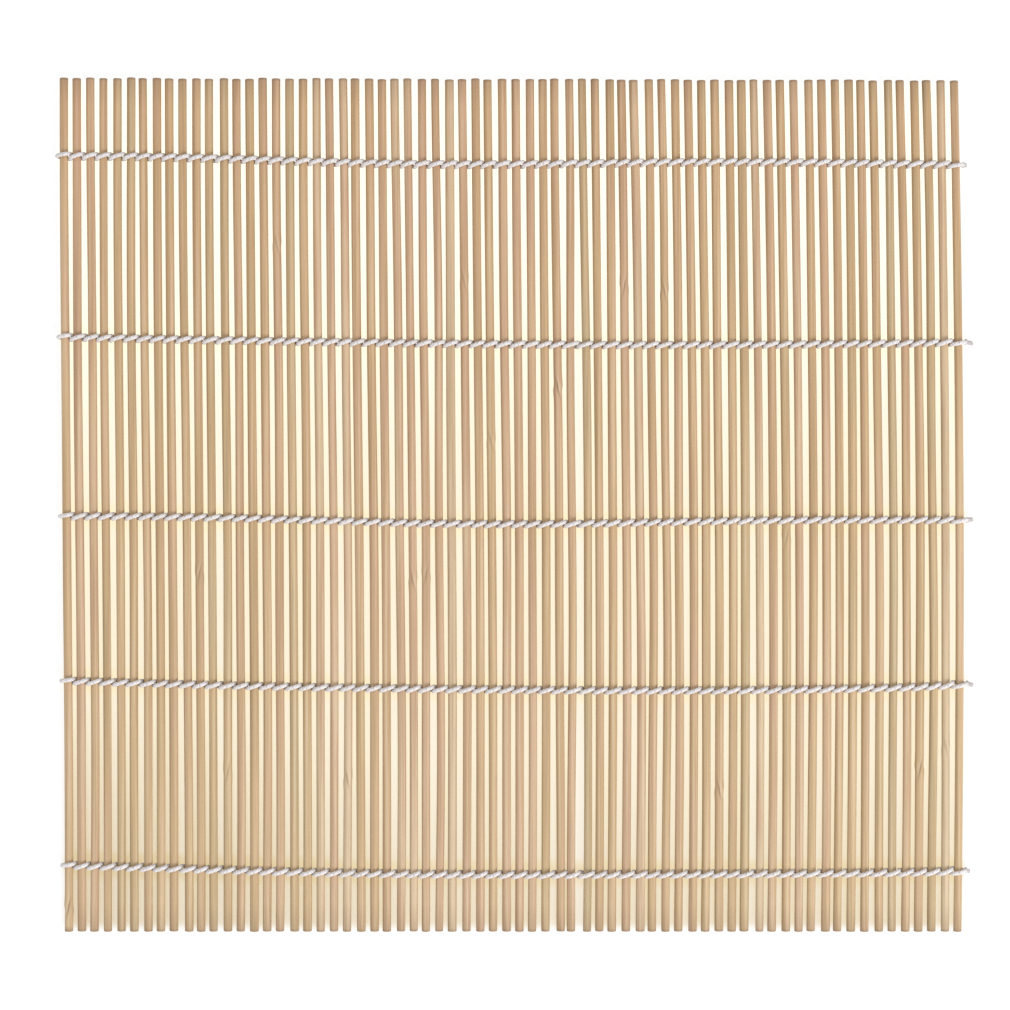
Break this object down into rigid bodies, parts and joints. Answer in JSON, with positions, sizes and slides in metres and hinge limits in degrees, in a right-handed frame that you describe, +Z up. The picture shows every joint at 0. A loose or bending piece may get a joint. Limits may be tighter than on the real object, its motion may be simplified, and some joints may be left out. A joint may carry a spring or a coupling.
{
  "type": "sushi rolling mat",
  "caption": "Flexible kitchen mat of thin round bamboo slats laid side by side and bound by rows of twined cotton string, which rolls up into a spiral to shape rolled food.",
  "frame": {"origin": "on the table, at the middle of the outer box of the mat lying flat", "axes": "+X across the slats from the folded ends of the strings to their knots, +Y along the slats, +Z up off the table"},
  "size_m": [0.257, 0.24, 0.0053],
  "materials": {
    "bamboo": "planed, matt, unvarnished",
    "cotton_twine": "soft undyed cotton"
  },
  "bodies": {
    "link_1": {"slat_pair_1": "bamboo", "twine_row_1": "cotton_twine", "twine_row_2": "cotton_twine", "twine_row_3": "cotton_twine", "twine_row_4": "cotton_twine", "twine_row_5": "cotton_twine", "edge_loops": "cotton_twine"},
    "link_2": {"slat_pair_2": "bamboo"},
    "link_3": {"slat_pair_3": "bamboo"},
    "link_4": {"slat_pair_4": "bamboo"},
    "link_5": {"slat_pair_5": "bamboo"},
    "link_6": {"slat_pair_6": "bamboo"},
    "link_7": {"slat_pair_7": "bamboo"},
    "link_8": {"slat_pair_8": "bamboo"},
    "link_9": {"slat_pair_9": "bamboo"},
    "link_10": {"slat_pair_10": "bamboo"},
    "link_11": {"slat_pair_11": "bamboo"},
    "link_12": {"slat_pair_12": "bamboo"},
    "link_13": {"slat_pair_13": "bamboo"},
    "link_14": {"slat_pair_14": "bamboo"},
    "link_15": {"slat_pair_15": "bamboo"},
    "link_16": {"slat_31": "bamboo"},
    "link_17": {"slat_32": "bamboo"},
    "link_18": {"slat_33": "bamboo"},
    "link_19": {"slat_34": "bamboo"},
    "link_20": {"slat_35": "bamboo"},
    "link_21": {"slat_36": "bamboo"},
    "link_22": {"slat_37": "bamboo"},
    "link_23": {"slat_38": "bamboo"},
    "link_24": {"slat_39": "bamboo"},
    "link_25": {"slat_40": "bamboo"},
    "link_26": {"slat_41": "bamboo"},
    "link_27": {"slat_42": "bamboo"},
    "link_28": {"slat_43": "bamboo"},
    "link_29": {"slat_44": "bamboo"},
    "link_30": {"slat_45": "bamboo"},
    "link_31": {"slat_46": "bamboo"},
    "link_32": {"slat_47": "bamboo"},
    "link_33": {"slat_48": "bamboo"},
    "link_34": {"slat_49": "bamboo"},
    "link_35": {"slat_50": "bamboo"},
    "link_36": {"slat_51": "bamboo"},
    "link_37": {"slat_52": "bamboo"},
    "link_38": {"slat_53": "bamboo"},
    "link_39": {"slat_54": "bamboo"},
    "link_40": {"slat_55": "bamboo"},
    "link_41": {"slat_56": "bamboo"},
    "link_42": {"slat_57": "bamboo"},
    "link_43": {"slat_58": "bamboo"},
    "link_44": {"slat_59": "bamboo"},
    "link_45": {"slat_60": "bamboo"},
    "link_46": {"slat_61": "bamboo"},
    "link_47": {"slat_62": "bamboo"},
    "link_48": {"slat_63": "bamboo"},
    "link_49": {"slat_64": "bamboo"},
    "link_50": {"slat_65": "bamboo"},
    "link_51": {"slat_66": "bamboo"},
    "link_52": {"slat_67": "bamboo"},
    "link_53": {"slat_68": "bamboo", "end_knots": "cotton_twine"}
  },
  "joints": [
    {"name": "bend_after_slat_2", "type": "hinge", "parent": "link_1", "child": "link_2", "pos_m": [-0.12038, 0, 0.00257], "axis": [0, -1, 0], "range_deg": [0, 18.58], "deforming": ["twine_row_1", "twine_row_2", "twine_row_3", "twine_row_4", "twine_row_5"]},
    {"name": "bend_after_slat_4", "type": "hinge", "parent": "link_2", "child": "link_3", "pos_m": [-0.1129, 0, 0.00257], "axis": [0, -1, 0], "range_deg": [0, 18.83], "deforming": ["twine_row_1", "twine_row_2", "twine_row_3", "twine_row_4", "twine_row_5"]},
    {"name": "bend_after_slat_6", "type": "hinge", "parent": "link_3", "child": "link_4", "pos_m": [-0.10542, 0, 0.00257], "axis": [0, -1, 0], "range_deg": [0, 19.1], "deforming": ["twine_row_1", "twine_row_2", "twine_row_3", "twine_row_4", "twine_row_5"]},
    {"name": "bend_after_slat_8", "type": "hinge", "parent": "link_4", "child": "link_5", "pos_m": [-0.09794, 0, 0.00257], "axis": [0, -1, 0], "range_deg": [0, 19.38], "deforming": ["twine_row_1", "twine_row_2", "twine_row_3", "twine_row_4", "twine_row_5"]},
    {"name": "bend_after_slat_10", "type": "hinge", "parent": "link_5", "child": "link_6", "pos_m": [-0.09046, 0, 0.00257], "axis": [0, -1, 0], "range_deg": [0, 19.67], "deforming": ["twine_row_1", "twine_row_2", "twine_row_3", "twine_row_4", "twine_row_5"]},
    {"name": "bend_after_slat_12", "type": "hinge", "parent": "link_6", "child": "link_7", "pos_m": [-0.08298, 0, 0.00257], "axis": [0, -1, 0], "range_deg": [0, 19.97], "deforming": ["twine_row_1", "twine_row_2", "twine_row_3", "twine_row_4", "twine_row_5"]},
    {"name": "bend_after_slat_14", "type": "hinge", "parent": "link_7", "child": "link_8", "pos_m": [-0.0755, 0, 0.00257], "axis": [0, -1, 0], "range_deg": [0, 20.29], "deforming": ["twine_row_1", "twine_row_2", "twine_row_3", "twine_row_4", "twine_row_5"]},
    {"name": "bend_after_slat_16", "type": "hinge", "parent": "link_8", "child": "link_9", "pos_m": [-0.06802, 0, 0.00257], "axis": [0, -1, 0], "range_deg": [0, 20.62], "deforming": ["twine_row_1", "twine_row_2", "twine_row_3", "twine_row_4", "twine_row_5"]},
    {"name": "bend_after_slat_18", "type": "hinge", "parent": "link_9", "child": "link_10", "pos_m": [-0.06054, 0, 0.00257], "axis": [0, -1, 0], "range_deg": [0, 20.97], "deforming": ["twine_row_1", "twine_row_2", "twine_row_3", "twine_row_4", "twine_row_5"]},
    {"name": "bend_after_slat_20", "type": "hinge", "parent": "link_10", "child": "link_11", "pos_m": [-0.05306, 0, 0.00257], "axis": [0, -1, 0], "range_deg": [0, 21.34], "deforming": ["twine_row_1", "twine_row_2", "twine_row_3", "twine_row_4", "twine_row_5"]},
    {"name": "bend_after_slat_22", "type": "hinge", "parent": "link_11", "child": "link_12", "pos_m": [-0.04558, 0, 0.00257], "axis": [0, -1, 0], "range_deg": [0, 21.73], "deforming": ["twine_row_1", "twine_row_2", "twine_row_3", "twine_row_4", "twine_row_5"]},
    {"name": "bend_after_slat_24", "type": "hinge", "parent": "link_12", "child": "link_13", "pos_m": [-0.0381, 0, 0.00257], "axis": [0, -1, 0], "range_deg": [0, 22.14], "deforming": ["twine_row_1", "twine_row_2", "twine_row_3", "twine_row_4", "twine_row_5"]},
    {"name": "bend_after_slat_26", "type": "hinge", "parent": "link_13", "child": "link_14", "pos_m": [-0.03062, 0, 0.00257], "axis": [0, -1, 0], "range_deg": [0, 22.57], "deforming": ["twine_row_1", "twine_row_2", "twine_row_3", "twine_row_4", "twine_row_5"]},
    {"name": "bend_after_slat_28", "type": "hinge", "parent": "link_14", "child": "link_15", "pos_m": [-0.02314, 0, 0.00257], "axis": [0, -1, 0], "range_deg": [0, 23.03], "deforming": ["twine_row_1", "twine_row_2", "twine_row_3", "twine_row_4", "twine_row_5"]},
    {"name": "bend_after_slat_30", "type": "hinge", "parent": "link_15", "child": "link_16", "pos_m": [-0.01566, 0, 0.00257], "axis": [0, -1, 0], "range_deg": [0, 17.64], "deforming": ["twine_row_1", "twine_row_2", "twine_row_3", "twine_row_4", "twine_row_5"]},
    {"name": "bend_after_slat_31", "type": "hinge", "parent": "link_16", "child": "link_17", "pos_m": [-0.01192, 0, 0.00257], "axis": [0, -1, 0], "range_deg": [0, 11.89], "deforming": ["twine_row_1", "twine_row_2", "twine_row_3", "twine_row_4", "twine_row_5"]},
    {"name": "bend_after_slat_32", "type": "hinge", "parent": "link_17", "child": "link_18", "pos_m": [-0.00818, 0, 0.00257], "axis": [0, -1, 0], "range_deg": [0, 12.02], "deforming": ["twine_row_1", "twine_row_2", "twine_row_3", "twine_row_4", "twine_row_5"]},
    {"name": "bend_after_slat_33", "type": "hinge", "parent": "link_18", "child": "link_19", "pos_m": [-0.00444, 0, 0.00257], "axis": [0, -1, 0], "range_deg": [0, 12.16], "deforming": ["twine_row_1", "twine_row_2", "twine_row_3", "twine_row_4", "twine_row_5"]},
    {"name": "bend_after_slat_34", "type": "hinge", "parent": "link_19", "child": "link_20", "pos_m": [-0.0007, 0, 0.00257], "axis": [0, -1, 0], "range_deg": [0, 12.3], "deforming": ["twine_row_1", "twine_row_2", "twine_row_3", "twine_row_4", "twine_row_5"]},
    {"name": "bend_after_slat_35", "type": "hinge", "parent": "link_20", "child": "link_21", "pos_m": [0.00304, 0, 0.00257], "axis": [0, -1, 0], "range_deg": [0, 12.45], "deforming": ["twine_row_1", "twine_row_2", "twine_row_3", "twine_row_4", "twine_row_5"]},
    {"name": "bend_after_slat_36", "type": "hinge", "parent": "link_21", "child": "link_22", "pos_m": [0.00678, 0, 0.00257], "axis": [0, -1, 0], "range_deg": [0, 12.6], "deforming": ["twine_row_1", "twine_row_2", "twine_row_3", "twine_row_4", "twine_row_5"]},
    {"name": "bend_after_slat_37", "type": "hinge", "parent": "link_22", "child": "link_23", "pos_m": [0.01052, 0, 0.00257], "axis": [0, -1, 0], "range_deg": [0, 12.76], "deforming": ["twine_row_1", "twine_row_2", "twine_row_3", "twine_row_4", "twine_row_5"]},
    {"name": "bend_after_slat_38", "type": "hinge", "parent": "link_23", "child": "link_24", "pos_m": [0.01426, 0, 0.00257], "axis": [0, -1, 0], "range_deg": [0, 12.93], "deforming": ["twine_row_1", "twine_row_2", "twine_row_3", "twine_row_4", "twine_row_5"]},
    {"name": "bend_after_slat_39", "type": "hinge", "parent": "link_24", "child": "link_25", "pos_m": [0.018, 0, 0.00257], "axis": [0, -1, 0], "range_deg": [0, 13.1], "deforming": ["twine_row_1", "twine_row_2", "twine_row_3", "twine_row_4", "twine_row_5"]},
    {"name": "bend_after_slat_40", "type": "hinge", "parent": "link_25", "child": "link_26", "pos_m": [0.02174, 0, 0.00257], "axis": [0, -1, 0], "range_deg": [0, 13.28], "deforming": ["twine_row_1", "twine_row_2", "twine_row_3", "twine_row_4", "twine_row_5"]},
    {"name": "bend_after_slat_41", "type": "hinge", "parent": "link_26", "child": "link_27", "pos_m": [0.02548, 0, 0.00257], "axis": [0, -1, 0], "range_deg": [0, 13.46], "deforming": ["twine_row_1", "twine_row_2", "twine_row_3", "twine_row_4", "twine_row_5"]},
    {"name": "bend_after_slat_42", "type": "hinge", "parent": "link_27", "child": "link_28", "pos_m": [0.02922, 0, 0.00257], "axis": [0, -1, 0], "range_deg": [0, 13.66], "deforming": ["twine_row_1", "twine_row_2", "twine_row_3", "twine_row_4", "twine_row_5"]},
    {"name": "bend_after_slat_43", "type": "hinge", "parent": "link_28", "child": "link_29", "pos_m": [0.03296, 0, 0.00257], "axis": [0, -1, 0], "range_deg": [0, 13.86], "deforming": ["twine_row_1", "twine_row_2", "twine_row_3", "twine_row_4", "twine_row_5"]},
    {"name": "bend_after_slat_44", "type": "hinge", "parent": "link_29", "child": "link_30", "pos_m": [0.0367, 0, 0.00257], "axis": [0, -1, 0], "range_deg": [0, 14.07], "deforming": ["twine_row_1", "twine_row_2", "twine_row_3", "twine_row_4", "twine_row_5"]},
    {"name": "bend_after_slat_45", "type": "hinge", "parent": "link_30", "child": "link_31", "pos_m": [0.04044, 0, 0.00257], "axis": [0, -1, 0], "range_deg": [0, 14.29], "deforming": ["twine_row_1", "twine_row_2", "twine_row_3", "twine_row_4", "twine_row_5"]},
    {"name": "bend_after_slat_46", "type": "hinge", "parent": "link_31", "child": "link_32", "pos_m": [0.04418, 0, 0.00257], "axis": [0, -1, 0], "range_deg": [0, 14.52], "deforming": ["twine_row_1", "twine_row_2", "twine_row_3", "twine_row_4", "twine_row_5"]},
    {"name": "bend_after_slat_47", "type": "hinge", "parent": "link_32", "child": "link_33", "pos_m": [0.04792, 0, 0.00257], "axis": [0, -1, 0], "range_deg": [0, 14.77], "deforming": ["twine_row_1", "twine_row_2", "twine_row_3", "twine_row_4", "twine_row_5"]},
    {"name": "bend_after_slat_48", "type": "hinge", "parent": "link_33", "child": "link_34", "pos_m": [0.05166, 0, 0.00257], "axis": [0, -1, 0], "range_deg": [0, 15.03], "deforming": ["twine_row_1", "twine_row_2", "twine_row_3", "twine_row_4", "twine_row_5"]},
    {"name": "bend_after_slat_49", "type": "hinge", "parent": "link_34", "child": "link_35", "pos_m": [0.0554, 0, 0.00257], "axis": [0, -1, 0], "range_deg": [0, 15.3], "deforming": ["twine_row_1", "twine_row_2", "twine_row_3", "twine_row_4", "twine_row_5"]},
    {"name": "bend_after_slat_50", "type": "hinge", "parent": "link_35", "child": "link_36", "pos_m": [0.05914, 0, 0.00257], "axis": [0, -1, 0], "range_deg": [0, 15.58], "deforming": ["twine_row_1", "twine_row_2", "twine_row_3", "twine_row_4", "twine_row_5"]},
    {"name": "bend_after_slat_51", "type": "hinge", "parent": "link_36", "child": "link_37", "pos_m": [0.06288, 0, 0.00257], "axis": [0, -1, 0], "range_deg": [0, 15.89], "deforming": ["twine_row_1", "twine_row_2", "twine_row_3", "twine_row_4", "twine_row_5"]},
    {"name": "bend_after_slat_52", "type": "hinge", "parent": "link_37", "child": "link_38", "pos_m": [0.06662, 0, 0.00257], "axis": [0, -1, 0], "range_deg": [0, 16.21], "deforming": ["twine_row_1", "twine_row_2", "twine_row_3", "twine_row_4", "twine_row_5"]},
    {"name": "bend_after_slat_53", "type": "hinge", "parent": "link_38", "child": "link_39", "pos_m": [0.07036, 0, 0.00257], "axis": [0, -1, 0], "range_deg": [0, 16.55], "deforming": ["twine_row_1", "twine_row_2", "twine_row_3", "twine_row_4", "twine_row_5"]},
    {"name": "bend_after_slat_54", "type": "hinge", "parent": "link_39", "child": "link_40", "pos_m": [0.0741, 0, 0.00257], "axis": [0, -1, 0], "range_deg": [0, 16.92], "deforming": ["twine_row_1", "twine_row_2", "twine_row_3", "twine_row_4", "twine_row_5"]},
    {"name": "bend_after_slat_55", "type": "hinge", "parent": "link_40", "child": "link_41", "pos_m": [0.07784, 0, 0.00257], "axis": [0, -1, 0], "range_deg": [0, 17.31], "deforming": ["twine_row_1", "twine_row_2", "twine_row_3", "twine_row_4", "twine_row_5"]},
    {"name": "bend_after_slat_56", "type": "hinge", "parent": "link_41", "child": "link_42", "pos_m": [0.08158, 0, 0.00257], "axis": [0, -1, 0], "range_deg": [0, 17.72], "deforming": ["twine_row_1", "twine_row_2", "twine_row_3", "twine_row_4", "twine_row_5"]},
    {"name": "bend_after_slat_57", "type": "hinge", "parent": "link_42", "child": "link_43", "pos_m": [0.08532, 0, 0.00257], "axis": [0, -1, 0], "range_deg": [0, 18.17], "deforming": ["twine_row_1", "twine_row_2", "twine_row_3", "twine_row_4", "twine_row_5"]},
    {"name": "bend_after_slat_58", "type": "hinge", "parent": "link_43", "child": "link_44", "pos_m": [0.08906, 0, 0.00257], "axis": [0, -1, 0], "range_deg": [0, 18.66], "deforming": ["twine_row_1", "twine_row_2", "twine_row_3", "twine_row_4", "twine_row_5"]},
    {"name": "bend_after_slat_59", "type": "hinge", "parent": "link_44", "child": "link_45", "pos_m": [0.0928, 0, 0.00257], "axis": [0, -1, 0], "range_deg": [0, 19.18], "deforming": ["twine_row_1", "twine_row_2", "twine_row_3", "twine_row_4", "twine_row_5"]},
    {"name": "bend_after_slat_60", "type": "hinge", "parent": "link_45", "child": "link_46", "pos_m": [0.09654, 0, 0.00257], "axis": [0, -1, 0], "range_deg": [0, 19.76], "deforming": ["twine_row_1", "twine_row_2", "twine_row_3", "twine_row_4", "twine_row_5"]},
    {"name": "bend_after_slat_61", "type": "hinge", "parent": "link_46", "child": "link_47", "pos_m": [0.10028, 0, 0.00257], "axis": [0, -1, 0], "range_deg": [0, 20.39], "deforming": ["twine_row_1", "twine_row_2", "twine_row_3", "twine_row_4", "twine_row_5"]},
    {"name": "bend_after_slat_62", "type": "hinge", "parent": "link_47", "child": "link_48", "pos_m": [0.10402, 0, 0.00257], "axis": [0, -1, 0], "range_deg": [0, 21.08], "deforming": ["twine_row_1", "twine_row_2", "twine_row_3", "twine_row_4", "twine_row_5"]},
    {"name": "bend_after_slat_63", "type": "hinge", "parent": "link_48", "child": "link_49", "pos_m": [0.10776, 0, 0.00257], "axis": [0, -1, 0], "range_deg": [0, 21.85], "deforming": ["twine_row_1", "twine_row_2", "twine_row_3", "twine_row_4", "twine_row_5"]},
    {"name": "bend_after_slat_64", "type": "hinge", "parent": "link_49", "child": "link_50", "pos_m": [0.1115, 0, 0.00257], "axis": [0, -1, 0], "range_deg": [0, 22.71], "deforming": ["twine_row_1", "twine_row_2", "twine_row_3", "twine_row_4", "twine_row_5"]},
    {"name": "bend_after_slat_65", "type": "hinge", "parent": "link_50", "child": "link_51", "pos_m": [0.11524, 0, 0.00257], "axis": [0, -1, 0], "range_deg": [0, 23.68], "deforming": ["twine_row_1", "twine_row_2", "twine_row_3", "twine_row_4", "twine_row_5"]},
    {"name": "bend_after_slat_66", "type": "hinge", "parent": "link_51", "child": "link_52", "pos_m": [0.11898, 0, 0.00257], "axis": [0, -1, 0], "range_deg": [0, 24.79], "deforming": ["twine_row_1", "twine_row_2", "twine_row_3", "twine_row_4", "twine_row_5"]},
    {"name": "bend_after_slat_67", "type": "hinge", "parent": "link_52", "child": "link_53", "pos_m": [0.12272, 0, 0.00257], "axis": [0, -1, 0], "range_deg": [0, 26.06], "deforming": ["twine_row_1", "twine_row_2", "twine_row_3", "twine_row_4", "twine_row_5"]}
  ]
}
